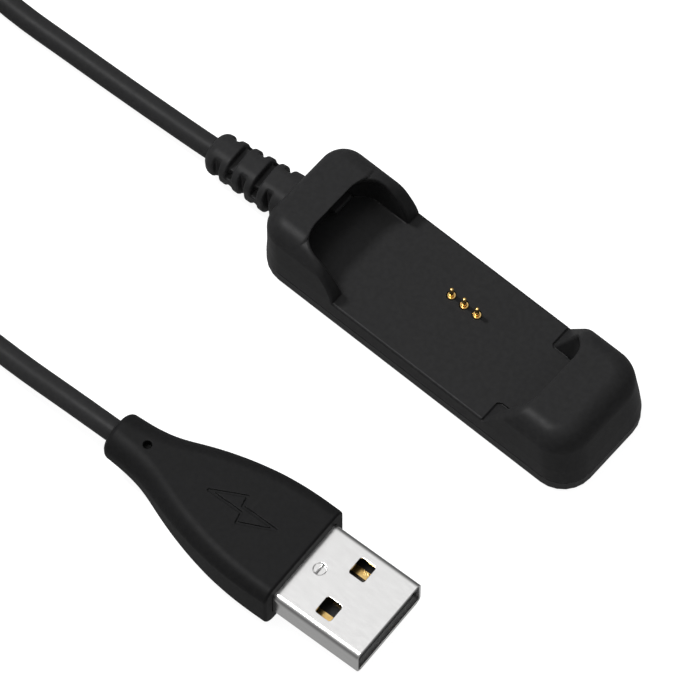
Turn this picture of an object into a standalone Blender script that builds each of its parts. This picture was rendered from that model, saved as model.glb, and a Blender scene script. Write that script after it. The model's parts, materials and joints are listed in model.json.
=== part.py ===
"""USB charging cable for a small fitness tracker: cradle, cord and USB-A plug.

Metres, +Z up, +X along the cradle from its cord end to its free end, +Y across
the deck towards the contact pins. The origin is on the ground under the middle
of the cradle. Run with: blender --background --python part.py
"""

from math import copysign, cos, pi, radians, sin, tan

import bmesh
import bpy
from mathutils import Matrix, Vector

MM = 0.001
GAP = 0.3 * MM                      # clearance between pieces that touch

# Cradle body
LENGTH = 49.0 * MM
WIDTH = 16.2 * MM
CORNER_RADIUS = 4.2 * MM            # seen from above
DECK_Z = 4.35 * MM
TOP_Z = 10.1 * MM
TOP_ROUND = 2.5 * MM                # rounding along the top of the cups
WALL_LEAN = 0.15 * MM               # how far every wall leans in below the rounding
END_LEAN = 1.35 * MM                # extra lean of the free end, from the seam to the top
NEAR_LEAN = 0.6 * MM                # extra lean of the -Y side, from the seam to the top
ROOF_CORNER_CORD = 3.0 * MM         # plan corner of the cord end's cup at the top
SEAM_Z = 2.1 * MM
FLOOR_ROUND = 0.45 * MM

# Seat between the two cups
WING_FOOT_CORD = -12.1 * MM         # where the side wings meet the deck
WING_FOOT_FREE = 11.35 * MM
WING_RUN = 5.6 * MM                 # length over which the cord end's wing rises
WING_SHAPE = 1.55                   # of that wing: 1 is a straight ramp, 2 is an ellipse
RAMP_ANGLE = radians(59.5)          # of the free end's wing
RAMP_ROUND = 2.0 * MM               # rounding where that wing meets the roof
ROOF_EDGE_CORD = -19.0 * MM
ROOF_EDGE_FREE = 16.0 * MM
UNDERCUT = 1.2 * MM                 # how far the pockets reach behind the roof edges
SEAT_HALF_WIDTH = 6.2 * MM
SEAT_CORNER = 3.6 * MM
SEAT_NARROWER_FREE = 1.0 * MM       # at the deck under the free end's cup, on each side
POCKET_Z = 8.9 * MM

# Inside of the cradle
CAVITY_HALF_LENGTH = 20.0 * MM
CAVITY_HALF_WIDTH = 6.4 * MM
CAVITY_TOP_Z = 3.25 * MM
FLOOR_Z = 0.9 * MM
TONGUE_WALL = 0.8 * MM
TONGUE_TOP_Z = 2.9 * MM
BOARD_HALF_LENGTH = 7.0 * MM
BOARD_SIDES = (-3.2 * MM, 4.7 * MM)
BOARD_Z = (1.95 * MM, 2.55 * MM)
POST_RADIUS = 0.6 * MM
POST_PLACES = ((-6.0 * MM, -2.4 * MM), (6.0 * MM, -2.4 * MM),
               (-6.0 * MM, 3.9 * MM), (6.0 * MM, 3.9 * MM))
WIRE_PASSAGE = ((-21.9 * MM, -1.7 * MM, 1.5 * MM), (-18.0 * MM, 1.7 * MM, 3.2 * MM))
SNAP_RIB = ((-20.6 * MM, 0.75 * MM, 5.6 * MM), (-18.95 * MM, 4.05 * MM, 6.25 * MM))

# Spring contacts
PIN_PITCH = 1.97 * MM
PIN_Y = 2.2 * MM
PIN_MIDDLE_X = -0.15 * MM
PIN_TIP_Z = 6.05 * MM
PLUNGER_RADIUS = 0.28 * MM
PLUNGER_FOOT_RADIUS = 0.34 * MM
PLUNGER_FOOT_Z = 3.2 * MM
BARREL_RADIUS = 0.46 * MM
BARREL_BORE = 0.38 * MM
BARREL_MOUTH = 0.31 * MM
BARREL_Z = (1.2 * MM, 4.42 * MM)
BARREL_FLOOR = 0.2 * MM
BARREL_VENT_RADIUS = 0.06 * MM
BARREL_ROOM = 0.12 * MM             # between a barrel and its hole in the board
COLLAR_RADIUS = 0.53 * MM
COLLAR_ROOM = 0.07 * MM             # between a barrel's collar and its hole in the deck
SPRING_COIL_RADIUS = 0.28 * MM
SPRING_WIRE_RADIUS = 0.05 * MM
SPRING_TURNS = 6

# Strain relief on the cradle
NECK_X = -25.6 * MM                 # outer end of the neck, inside the slotted body
NECK_Z = 3.1 * MM
NECK_LENGTH = 3.5 * MM
NECK_RADIUS = 1.8 * MM
FLANGE_X = (-22.9 * MM, -21.9 * MM)
FLANGE_HALF_WIDTH = 2.6 * MM
FLANGE_Z = (1.2 * MM, 5.1 * MM)
RELIEF_START = Vector((-24.8, 0.0, 3.1)) * MM
RELIEF_END = Vector((-36.9, -0.8, 2.55)) * MM
RELIEF_HALF_SIZE = (3.0 * MM, 2.5 * MM)
RELIEF_CORNER = 2.1 * MM
RELIEF_END_SHAPE = ((1.2 * MM, 0.0), (0.6 * MM, 0.2 * MM), (0.2 * MM, 0.55 * MM), (0.0, 1.0 * MM))
RELIEF_CORE = 1.75 * MM
SLOT_WIDTH = 0.85 * MM
SLOT_PITCH = 1.95 * MM
SLOT_PAIRS = 5
FIRST_SLOT = 2.2 * MM
SLOT_BRIDGE = 0.6 * MM              # half height of the side bridges left by every other slot

# Cord
CORD_DIAMETER = 2.9 * MM
CORD_POINT_SPACING = 2.0 * CORD_DIAMETER
CRADLE_ROUTE = [Vector(p) * MM for p in (
    (-37.2, -0.82, 2.55), (-42.0, -0.95, 2.15), (-50.0, -1.15, 1.65), (-59.0, -1.45, 1.5),
    (-68.0, -1.75, 1.6), (-77.6, -1.25, 1.8))]
PLUG_ROUTE = [Vector(p) * MM for p in (
    (-20.6, -36.98, 4.0), (-27.0, -37.15, 3.55), (-35.0, -37.2, 2.45), (-43.0, -37.1, 1.7),
    (-51.0, -37.3, 1.6), (-59.0, -38.0, 3.0), (-68.0, -39.3, 7.2), (-77.6, -40.35, 10.5))]
COIL_CENTRE = Vector((-89.0, -20.8)) * MM
COIL_MIDDLE_RADIUS = 16.5 * MM
COIL_HALF_WIDTH = 4.7 * MM
COIL_Z = (0.95 * MM, 12.65 * MM)    # at the tie, which the coil stands on
COIL_TILT = radians(1.3)            # down to the ground on the side away from the tie
TIE_THICKNESS = 0.6 * MM
TIE_WIDTH = 4.0 * MM

# USB-A plug, in its own frame: +X towards the tip, X = 0 at the moulded body's front
PLUG_PLACE = Vector((7.7, -35.7, 4.0)) * MM
PLUG_YAW = radians(2.6)
SHELL_WIDTH = 12.0 * MM
SHELL_HEIGHT = 4.5 * MM
SHELL_WALL = 0.3 * MM
SHELL_CORNER = 0.65 * MM
SHELL_X = (-6.5 * MM, 12.45 * MM)
WINDOW_X = 6.05 * MM
WINDOW_Y = 3.13 * MM
WINDOW_SIZE = (2.2 * MM, 2.45 * MM)
# Moulded body: distance behind its front, half width and half height
PLUG_BODY = [(length * MM, width * MM, height * MM) for length, width, height in (
    (0.0, 7.1, 3.8), (0.3, 7.35, 4.0), (3.2, 7.42, 4.0), (5.7, 7.35, 3.98), (8.7, 7.08, 3.92),
    (12.2, 6.45, 3.78), (15.3, 5.68, 3.6), (18.1, 4.8, 3.38), (20.2, 4.0, 3.2),
    (22.1, 3.45, 3.06), (24.5, 3.12, 2.96), (27.2, 2.95, 2.88), (27.8, 2.72, 2.7),
    (28.0, 2.4, 2.45))]
PLUG_BODY_CORNER = (1.7 * MM, 2.6 * MM)        # section corner at the front and at the rear
PLUG_BODY_SPAN = 24.5 * MM
HOLE_X = -23.3 * MM                            # blind hole near the cord
HOLE_RADIUS = 0.53 * MM
HOLE_FLOOR_Z = 1.98 * MM
# Rooms inside the body: rear and front X, half width and half height
FRONT_CAVITY = (-8.8 * MM, 1.0 * MM, 6.3 * MM, 2.55 * MM)
REAR_CAVITY = (-13.3 * MM, -8.0 * MM, 5.2 * MM, 2.3 * MM)
INNER_MOULD_X = (-13.0 * MM, -7.0 * MM)
TONGUE_X = (-6.2 * MM, 1.2 * MM, 11.6 * MM)
CONTACT_Y = (3.5 * MM, 1.0 * MM, -1.0 * MM, -3.5 * MM)
CONTACT_TIP_X = (10.4 * MM, 9.4 * MM, 9.4 * MM, 10.4 * MM)
CONTACT_HALF_WIDTH = 0.5 * MM
CONTACT_Z = (0.05 * MM, 0.3 * MM)
WIRE_RADIUS = 0.4 * MM


# ---------------------------------------------------------------- helpers

def clear_scene():
    """Remove the objects of the scene that the script runs in."""
    for old in list(bpy.data.objects):
        bpy.data.objects.remove(old)


def material(name, colour, roughness, metallic=0.0):
    """Return a Principled material."""
    made = bpy.data.materials.new(name)
    made.use_nodes = True
    shader = made.node_tree.nodes["Principled BSDF"]
    shader.inputs["Base Color"].default_value = (*colour, 1.0)
    shader.inputs["Roughness"].default_value = roughness
    shader.inputs["Metallic"].default_value = metallic
    return made


def finish_mesh(name, bm, look=None, sharp_degrees=40):
    """Turn a bmesh into a smooth-shaded object with outward faces."""
    bmesh.ops.recalc_face_normals(bm, faces=bm.faces)
    mesh = bpy.data.meshes.new(name)
    bm.to_mesh(mesh)
    bm.free()
    mesh.shade_smooth()
    mesh.set_sharp_from_angle(angle=radians(sharp_degrees))
    made = bpy.data.objects.new(name, mesh)
    bpy.context.collection.objects.link(made)
    if look:
        mesh.materials.append(look)
    return made


def loft(rings, closed=False):
    """Skin rings of equal length; cap the ends, or join the last ring to the first."""
    bm = bmesh.new()
    rows = [[bm.verts.new(point) for point in ring] for ring in rings]
    pairs = list(zip(rows, rows[1:]))
    if closed:
        pairs.append((rows[-1], rows[0]))
    for low, high in pairs:
        for i in range(len(low)):
            j = (i + 1) % len(low)
            bm.faces.new((low[i], low[j], high[j], high[i]))
    if not closed:
        bm.faces.new(list(reversed(rows[0])))
        bm.faces.new(rows[-1])
    return bm


def rounded_rectangle(half_x, half_y, radius, steps=6):
    """Outline points of a rounded rectangle around the origin, anticlockwise."""
    points = []
    for corner, (side_x, side_y) in enumerate(((1, 1), (-1, 1), (-1, -1), (1, -1))):
        for step in range(steps + 1):
            angle = pi / 2 * (corner + step / steps)
            points.append((side_x * (half_x - radius) + radius * cos(angle),
                           side_y * (half_y - radius) + radius * sin(angle)))
    return points


def box(name, low, high, look=None):
    """A block between two corners."""
    x0, y0, z0 = low
    x1, y1, z1 = high
    floor = [(x0, y0, z0), (x1, y0, z0), (x1, y1, z0), (x0, y1, z0)]
    roof = [(x, y, z1) for x, y, _ in floor]
    return finish_mesh(name, loft([floor, roof]), look)


def turned(name, profile, look=None, steps=24):
    """A solid turned about its Z axis from (radius, height) points, bottom to top."""
    rings = []
    for radius, height in profile:
        angles = [2 * pi * i / steps for i in range(steps)]
        rings.append([(radius * cos(a), radius * sin(a), height) for a in angles])
    return finish_mesh(name, loft(rings), look)


def turned_tube(name, outline, look=None, steps=24):
    """A ring turned about its Z axis from a closed (radius, height) outline."""
    rings = []
    for radius, height in outline:
        angles = [2 * pi * i / steps for i in range(steps)]
        rings.append([(radius * cos(a), radius * sin(a), height) for a in angles])
    return finish_mesh(name, loft(rings, closed=True), look)


def combine(target, tool, operation="DIFFERENCE"):
    """Cut a tool out of the target, or add it, and hide the tool."""
    step = target.modifiers.new(tool.name, "BOOLEAN")
    step.operation = operation
    step.solver = "EXACT"
    step.object = tool
    tool.hide_render = True
    tool.display_type = "WIRE"


def smooth_points(route, spacing):
    """Points at an even spacing on a Catmull-Rom curve through the route."""
    padded = [2 * route[0] - route[1], *route, 2 * route[-1] - route[-2]]
    fine = []
    for a, b, c, d in zip(padded, padded[1:], padded[2:], padded[3:]):
        for step in range(20):
            t = step / 20
            fine.append(0.5 * (2 * b + (c - a) * t + (2 * a - 5 * b + 4 * c - d) * t ** 2
                               + (3 * b - a - 3 * c + d) * t ** 3))
    fine.append(route[-1])
    steps = [(q - p).length for p, q in zip(fine, fine[1:])]
    count = max(2, round(sum(steps) / spacing))
    chosen = [fine[0]]
    walked = 0.0
    for length, point in zip(steps, fine[1:]):
        walked += length
        if walked >= sum(steps) * len(chosen) / count - 1e-9:
            chosen.append(point)
    return chosen


def cord(name, points, diameter, look, resolution=2):
    """A round tube with filled ends along the points."""
    curve = bpy.data.curves.new(name, "CURVE")
    curve.dimensions = "3D"
    curve.bevel_depth = diameter / 2
    curve.bevel_resolution = resolution
    curve.use_fill_caps = True
    spline = curve.splines.new("POLY")
    spline.points.add(len(points) - 1)
    for target, point in zip(spline.points, points):
        target.co = (*point, 1.0)
    curve.materials.append(look)
    made = bpy.data.objects.new(name, curve)
    bpy.context.collection.objects.link(made)
    return made


# ---------------------------------------------------------------- cradle

def body_outline(inset, height):
    """The cradle's plan outline, moved inwards by inset, at a height."""
    share = max(height - SEAM_Z - GAP / 2, 0.0) / (TOP_Z - SEAM_Z - GAP / 2)
    above_deck = max(height - DECK_Z, 0.0) / (TOP_Z - DECK_Z)
    cord_radius = CORNER_RADIUS + (ROOF_CORNER_CORD - CORNER_RADIUS) * above_deck
    ends = [rounded_rectangle(LENGTH / 2 - inset, WIDTH / 2 - inset, max(radius - inset, 0.9 * MM))
            for radius in (cord_radius, CORNER_RADIUS)]
    points = [at_cord if at_cord[0] < 0 else at_free for at_cord, at_free in zip(*ends)]
    return [(x - END_LEAN * share * (x > 0), y + NEAR_LEAN * share * (y < 0), height)
            for x, y in points]


def housing_blank():
    """The upper shell before its seat is cut: leaning walls and a rounded top."""
    rings = [body_outline(0.0, SEAM_Z + GAP / 2), body_outline(0.0, DECK_Z)]
    for step in range(7):
        angle = radians(78) * step / 6
        inset = WALL_LEAN + TOP_ROUND * (1 - cos(angle))
        rings.append(body_outline(inset, TOP_Z - TOP_ROUND * (1 - sin(angle))))
    return loft(rings)


def curved_wing():
    """Points in X and Z up the cord end's wing, from the deck to above the roof."""
    points = []
    for step in range(11):
        along = step / 10
        height = (1 - (1 - along) ** WING_SHAPE) ** (1 / WING_SHAPE)
        points.append((WING_FOOT_CORD - WING_RUN * along, DECK_Z + (TOP_Z - DECK_Z) * height))
    return points + above_roof(points[-1][0] - 3 * MM)


def ramped_wing():
    """Points in X and Z up the free end's wing: a straight ramp and a rounded top."""
    top_x = WING_FOOT_FREE + (TOP_Z - DECK_Z) / tan(RAMP_ANGLE)
    end_x = top_x + RAMP_ROUND * tan(RAMP_ANGLE / 2)
    points = [(WING_FOOT_FREE, DECK_Z)]
    for step in range(7):
        angle = RAMP_ANGLE * (1 - step / 6)
        points.append((end_x - RAMP_ROUND * sin(angle), TOP_Z - RAMP_ROUND * (1 - cos(angle))))
    return points + above_roof(end_x + 3 * MM)


def above_roof(x):
    """The last points of a wing's cut, over the roof of its cup."""
    return [(x, TOP_Z + 0.05 * MM), (x, TOP_Z + 2 * MM)]


def trough_cutter():
    """Full-width cut that leaves the deck between the wings of the two cups."""
    side = list(reversed(curved_wing())) + ramped_wing()
    rings = [[(x, y, z) for x, z in side] for y in (-WIDTH, WIDTH)]
    return finish_mesh("trough_cutter", loft(rings))


def seat_cutter():
    """Plan-shaped cut for the tracker, wider inside the cups than at the roof edges."""
    levels = ((DECK_Z, UNDERCUT, -0.2 * MM, SEAT_NARROWER_FREE), (7.8 * MM, UNDERCUT, 0.0, 0.0),
              (POCKET_Z, 0.25 * MM, 0.0, 0.0), (9.3 * MM, 0.0, 0.05 * MM, 0.0),
              (9.8 * MM, -0.2 * MM, 0.25 * MM, 0.0),
              (TOP_Z + 0.2 * MM, -0.9 * MM, 0.8 * MM, 0.0),
              (TOP_Z + 2 * MM, -0.9 * MM, 0.8 * MM, 0.0))
    middle = (ROOF_EDGE_CORD + ROOF_EDGE_FREE) / 2
    half = (ROOF_EDGE_FREE - ROOF_EDGE_CORD) / 2
    rings = []
    for height, longer, wider, narrower in levels:
        outline = rounded_rectangle(half + longer, SEAT_HALF_WIDTH + wider, SEAT_CORNER)
        rings.append([(x + middle, y - copysign(narrower, y) * (x > 0), height)
                      for x, y in outline])
    return finish_mesh("seat_cutter", loft(rings))


def cavity_cutter(name, low, high, inset=0.0):
    """The room inside the cradle, as a cutter or a tool of the same shape."""
    outline = rounded_rectangle(CAVITY_HALF_LENGTH - inset, CAVITY_HALF_WIDTH - inset,
                                2.6 * MM - inset)
    return finish_mesh(name, loft([[(x, y, z) for x, y in outline] for z in (low, high)]))


def neck_and_flange(prefix, room):
    """The strain relief's neck and its anchor flange, with some room around them."""
    neck = turned(prefix + "_neck", [(NECK_RADIUS + room, -room),
                                     (NECK_RADIUS + room, NECK_LENGTH + room)])
    neck.rotation_euler = (0, radians(90), 0)
    neck.location = (NECK_X, 0, NECK_Z)
    flange = box(prefix + "_flange",
                 (FLANGE_X[0] - room, -FLANGE_HALF_WIDTH - room, FLANGE_Z[0] - room),
                 (FLANGE_X[1] + room, FLANGE_HALF_WIDTH + room, FLANGE_Z[1] + room))
    return neck, flange


def pin_places():
    """Centres of the three contact pins on the deck."""
    return [(PIN_MIDDLE_X + PIN_PITCH * (i - 1), PIN_Y) for i in range(3)]


def make_housing(look):
    """Upper shell: deck, two cups, a snap rib and the holes for pins and cord."""
    housing = finish_mesh("cradle_housing", housing_blank(), look)
    combine(housing, trough_cutter())
    combine(housing, seat_cutter())
    combine(housing, box("snap_rib", *SNAP_RIB), "UNION")
    combine(housing, cavity_cutter("housing_cavity", 0.0, CAVITY_TOP_Z))
    combine(housing, box("housing_passage", *WIRE_PASSAGE))
    for tool in neck_and_flange("housing", GAP):
        combine(housing, tool)
    radius = COLLAR_RADIUS + COLLAR_ROOM
    for i, (x, y) in enumerate(pin_places()):
        hole = turned(f"pin_hole_{i + 1}", [(radius, SEAM_Z), (radius, TOP_Z)])
        hole.location = (x, y, 0)
        combine(housing, hole)
    return housing


def make_base(look):
    """Lower cover: floor, rim, inner tongue and four posts under the board."""
    rings = []
    for step in range(5):
        angle = radians(90) * step / 4
        inset = FLOOR_ROUND * (1 - sin(angle))
        rings.append(body_outline(inset, FLOOR_ROUND * (1 - cos(angle))))
    rings.append(body_outline(0.0, SEAM_Z - GAP / 2))
    base = finish_mesh("base_cover", loft(rings), look)
    combine(base, cavity_cutter("base_tongue", 1.2 * MM, TONGUE_TOP_Z, GAP), "UNION")
    combine(base, cavity_cutter("base_cavity", FLOOR_Z, 4 * MM, GAP + TONGUE_WALL))
    for tool in neck_and_flange("base", GAP):
        combine(base, tool)
    combine(base, box("base_passage", *WIRE_PASSAGE))
    for i, (x, y) in enumerate(POST_PLACES):
        post = turned(f"post_{i + 1}", [(POST_RADIUS, FLOOR_Z / 2),
                                        (POST_RADIUS, BOARD_Z[0] - GAP)], steps=16)
        post.location = (x, y, 0)
        combine(base, post, "UNION")
    return base


def make_board(look):
    """Contact board with a clearance hole for each pin barrel."""
    low = (-BOARD_HALF_LENGTH, BOARD_SIDES[0], BOARD_Z[0])
    high = (BOARD_HALF_LENGTH, BOARD_SIDES[1], BOARD_Z[1])
    board = box("contact_board", low, high, look)
    radius = BARREL_RADIUS + BARREL_ROOM
    for i, (x, y) in enumerate(pin_places()):
        hole = turned(f"board_hole_{i + 1}", [(radius, FLOOR_Z), (radius, DECK_Z)])
        hole.location = (x, y, 0)
        combine(board, hole)
    return board


def barrel_outline():
    """Radius and height around the wall of one pin barrel, with a vent in its floor."""
    low, top = BARREL_Z
    return [(BARREL_VENT_RADIUS, low), (BARREL_RADIUS, low), (BARREL_RADIUS, top - 0.35 * MM),
            (COLLAR_RADIUS, top - 0.3 * MM), (COLLAR_RADIUS, top - 0.05 * MM),
            (COLLAR_RADIUS - 0.06 * MM, top), (BARREL_MOUTH + 0.03 * MM, top),
            (BARREL_MOUTH, top - 0.05 * MM), (BARREL_MOUTH, top - 0.35 * MM),
            (BARREL_BORE, top - 0.45 * MM), (BARREL_BORE, low + BARREL_FLOOR),
            (BARREL_VENT_RADIUS, low + BARREL_FLOOR)]


def plunger_profile():
    """Radius and height up one plunger, from its foot to its rounded tip."""
    shoulder = BARREL_Z[1] - 0.5 * MM
    points = [(PLUNGER_FOOT_RADIUS, PLUNGER_FOOT_Z), (PLUNGER_FOOT_RADIUS, shoulder - 0.1 * MM),
              (PLUNGER_RADIUS, shoulder)]
    for step in range(6):
        angle = radians(80) * step / 5
        points.append((PLUNGER_RADIUS * cos(angle),
                       PIN_TIP_Z - PLUNGER_RADIUS * (1 - sin(angle))))
    return points


def spring_points(low, high):
    """Helix of one contact spring between its barrel's floor and the plunger."""
    steps = SPRING_TURNS * 10
    return [Vector((SPRING_COIL_RADIUS * cos(2 * pi * SPRING_TURNS * i / steps),
                    SPRING_COIL_RADIUS * sin(2 * pi * SPRING_TURNS * i / steps),
                    low + (high - low) * i / steps)) for i in range(steps + 1)]


def make_pins(gold, steel):
    """Three spring contacts: barrel, plunger and spring, each on its own pin's axis."""
    low = BARREL_Z[0] + BARREL_FLOOR + 2 * SPRING_WIRE_RADIUS
    high = PLUNGER_FOOT_Z - 2 * SPRING_WIRE_RADIUS
    for i, (x, y) in enumerate(pin_places()):
        pieces = [turned_tube(f"pin_barrel_{i + 1}", barrel_outline(), gold),
                  turned(f"pin_plunger_{i + 1}", plunger_profile(), gold),
                  cord(f"pin_spring_{i + 1}", spring_points(low, high), 2 * SPRING_WIRE_RADIUS,
                       steel, resolution=1)]
        for piece in pieces:
            piece.location = (x, y, 0)


def make_cradle_wires(looks):
    """Insulated conductors from the cord's end to the edge of the board."""
    start_x = FLANGE_X[1] + 0.5 * MM
    end_x = -BOARD_HALF_LENGTH - GAP
    for (name, look), start_y, end_y in zip(looks.items(), (1.0, 0.0, -1.0), (3.0, 0.8, -1.6)):
        route = [Vector(p) for p in (
            (start_x, start_y * MM, 2.4 * MM), (-17.5 * MM, start_y * MM, 2.2 * MM),
            (-13.5 * MM, (start_y + end_y) / 2 * MM, 1.9 * MM), (-9.8 * MM, end_y * MM, 2.2 * MM),
            (end_x, end_y * MM, 2.25 * MM))]
        cord(f"cradle_wire_{name}", smooth_points(route, 1.3 * MM), 2 * WIRE_RADIUS, look, 1)


# ---------------------------------------------------------------- strain relief and cord

def relief_frame():
    """Matrix whose +X runs along the relief from the cradle to the cord."""
    along = (RELIEF_END - RELIEF_START).normalized()
    across = Vector((0, 0, 1)).cross(along).normalized()
    up = along.cross(across)
    turn = Matrix((along, across, up)).transposed().to_4x4()
    return Matrix.Translation(RELIEF_START) @ turn


def relief_half_size(along):
    """Half width of the relief's square section at a distance from the cradle."""
    share = along / (RELIEF_END - RELIEF_START).length
    return RELIEF_HALF_SIZE[0] + (RELIEF_HALF_SIZE[1] - RELIEF_HALF_SIZE[0]) * share


def relief_blank():
    """Tapered body with a well rounded section and a rounded cord end."""
    length = (RELIEF_END - RELIEF_START).length
    stations = [(0.0, 0.0)] + [(length - back, inset) for back, inset in RELIEF_END_SHAPE]
    rings = []
    for along, inset in stations:
        half = relief_half_size(along) - inset
        outline = rounded_rectangle(half, half, min(RELIEF_CORNER, half - 0.2 * MM))
        rings.append([(along, y, z) for y, z in outline])
    return loft(rings)


def slot_outlines(number, far):
    """Across and up around the two cuts of one slot: at the sides, or over top and bottom."""
    core, bridge = RELIEF_CORE, SLOT_BRIDGE
    if number % 2:
        half = [(-far, bridge), (-core, bridge), (-core, core), (core, core), (core, bridge),
                (far, bridge), (far, far), (-far, far)]
    else:
        half = [(core, -far), (far, -far), (far, far), (core, far)]
    return half, [(-y, -z) for y, z in half]


def slot_cutters(number, frame):
    """The pair of cuts from opposite sides at one slot."""
    middle = FIRST_SLOT + SLOT_PITCH * number
    tools = []
    for side, outline in zip("ab", slot_outlines(number, RELIEF_HALF_SIZE[0] + 1 * MM)):
        rings = [[(x, y, z) for y, z in outline]
                 for x in (middle - SLOT_WIDTH / 2, middle + SLOT_WIDTH / 2)]
        tool = finish_mesh(f"slot_{number + 1}_{side}", loft(rings))
        tool.matrix_world = frame
        tools.append(tool)
    return tools


def make_relief(look):
    """Strain relief: neck and anchor flange inside the cradle, slotted body outside."""
    frame = relief_frame()
    relief = finish_mesh("cradle_strain_relief", relief_blank(), look)
    relief.matrix_world = frame
    for number in range(SLOT_PAIRS):
        for tool in slot_cutters(number, frame):
            combine(relief, tool)
    for tool in neck_and_flange("relief", 0.0):
        combine(relief, tool, "UNION")
    return relief


def make_coil(look):
    """Outer shape of the tied coil, one turned ring."""
    low, high = COIL_Z
    inner = COIL_MIDDLE_RADIUS - COIL_HALF_WIDTH
    outer = COIL_MIDDLE_RADIUS + COIL_HALF_WIDTH
    cut = CORD_DIAMETER * 0.3
    outline = [(inner + cut, low), (outer - cut, low), (outer, low + cut), (outer, high - cut),
               (outer - cut, high), (inner + cut, high), (inner, high - cut), (inner, low + cut)]
    coil = turned_tube("cord_coil", outline, look, steps=64)
    coil.location = (COIL_CENTRE.x - (low + high) / 2 * sin(COIL_TILT), COIL_CENTRE.y,
                     -COIL_MIDDLE_RADIUS * sin(COIL_TILT))
    coil.rotation_euler = (0, COIL_TILT, 0)
    return coil


def make_tie(look):
    """Band around the coil's turns, on the side away from the cradle."""
    half_height = (COIL_Z[1] - COIL_Z[0]) / 2 + GAP
    half_width = COIL_HALF_WIDTH + GAP + 0.1 * MM
    inner = rounded_rectangle(half_width, half_height, 1.0 * MM, 3)
    outer = rounded_rectangle(half_width + TIE_THICKNESS, half_height + TIE_THICKNESS,
                              1.0 * MM + TIE_THICKNESS, 3)
    rings = []
    for outline, y in ((outer, -1), (outer, 1), (inner, 1), (inner, -1)):
        rings.append([(x, y * TIE_WIDTH / 2, z) for x, z in outline])
    tie = finish_mesh("coil_tie", loft(rings, closed=True), look)
    tie.location = (COIL_CENTRE.x - COIL_MIDDLE_RADIUS, COIL_CENTRE.y,
                    (COIL_Z[0] + COIL_Z[1]) / 2)
    return tie


def make_cords(jacket):
    """The two stretches of cord that aren't coiled."""
    for name, route in (("cord_cradle_side", CRADLE_ROUTE), ("cord_plug_side", PLUG_ROUTE)):
        cord(name, smooth_points(route, CORD_POINT_SPACING), CORD_DIAMETER, jacket)


# ---------------------------------------------------------------- USB plug

def make_plug_body(look):
    """Moulded grip that narrows to the cord, hollow at the front, with a blind hole."""
    rings = []
    for behind, half_width, half_height in PLUG_BODY:
        share = min(behind / PLUG_BODY_SPAN, 1.0)
        corner = PLUG_BODY_CORNER[0] + (PLUG_BODY_CORNER[1] - PLUG_BODY_CORNER[0]) * share
        corner = min(corner, half_height * 0.92, half_width * 0.92)
        outline = rounded_rectangle(half_width, half_height, corner)
        rings.append([(-behind, y, z) for y, z in outline])
    body = finish_mesh("plug_overmould", loft(rings), look)
    for name, (rear, front, half_width, half_height) in (("front_cavity", FRONT_CAVITY),
                                                         ("rear_cavity", REAR_CAVITY)):
        combine(body, box(name, (rear, -half_width, -half_height),
                          (front, half_width, half_height)))
    hole = turned("round_hole", [(HOLE_RADIUS, HOLE_FLOOR_Z), (HOLE_RADIUS, SHELL_HEIGHT)])
    hole.location = (HOLE_X, 0, 0)
    combine(body, hole)
    return body


def make_shell(look):
    """Folded metal shell of the plug with two windows through each wide side."""
    outer = rounded_rectangle(SHELL_WIDTH / 2, SHELL_HEIGHT / 2, SHELL_CORNER)
    inner = rounded_rectangle(SHELL_WIDTH / 2 - SHELL_WALL, SHELL_HEIGHT / 2 - SHELL_WALL,
                              SHELL_CORNER - SHELL_WALL)
    rear, front = SHELL_X
    rings = []
    for outline, x in ((outer, rear), (outer, front), (inner, front), (inner, rear)):
        rings.append([(x, y, z) for y, z in outline])
    shell = finish_mesh("plug_shell", loft(rings, closed=True), look)
    for side in (-1, 1):
        low = (WINDOW_X - WINDOW_SIZE[0] / 2, side * WINDOW_Y - WINDOW_SIZE[1] / 2, -4 * MM)
        high = (WINDOW_X + WINDOW_SIZE[0] / 2, side * WINDOW_Y + WINDOW_SIZE[1] / 2, 4 * MM)
        combine(shell, box(f"window_{'near' if side < 0 else 'far'}", low, high))
    return shell


def make_tongue(look):
    """Insulator: rear block with a channel for each contact, and the front tongue."""
    half_width = SHELL_WIDTH / 2 - SHELL_WALL - 0.15 * MM
    half_height = SHELL_HEIGHT / 2 - SHELL_WALL - 0.15 * MM
    rear, step, front = TONGUE_X
    side = [(rear, -half_height), (front, -half_height), (front, -0.25 * MM),
            (front - 0.4 * MM, 0.0), (step, 0.0), (step, half_height), (rear, half_height)]
    rings = [[(x, y, z) for x, z in side] for y in (-half_width, half_width)]
    tongue = finish_mesh("plug_insulator", loft(rings), look)
    for i, y in enumerate(CONTACT_Y):
        low = (rear - 1 * MM, y - CONTACT_HALF_WIDTH - 0.1 * MM, -0.06 * MM)
        high = (step + 1 * MM, y + CONTACT_HALF_WIDTH + 0.1 * MM, CONTACT_Z[1] + 0.1 * MM)
        combine(tongue, box(f"contact_channel_{i + 1}", low, high))
    return tongue


def make_contacts(look):
    """Four flat contacts on the tongue, with short tails behind the insulator."""
    return [box(f"plug_contact_{i + 1}",
                (TONGUE_X[0] - 0.6 * MM, y - CONTACT_HALF_WIDTH, CONTACT_Z[0]),
                (tip, y + CONTACT_HALF_WIDTH, CONTACT_Z[1]), look)
            for i, (y, tip) in enumerate(zip(CONTACT_Y, CONTACT_TIP_X))]


def make_inner_mould(look):
    """First-shot moulding behind the shell, with a passage for the conductors."""
    rear, front = INNER_MOULD_X
    mould = box("plug_inner_mould", (rear, -4.9 * MM, -2.0 * MM), (front, 4.9 * MM, 2.0 * MM), look)
    combine(mould, box("wire_passage", (rear - 1 * MM, -4.2 * MM, -1.0 * MM),
                       (front + 1 * MM, 4.2 * MM, 1.0 * MM)))
    return mould


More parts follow.
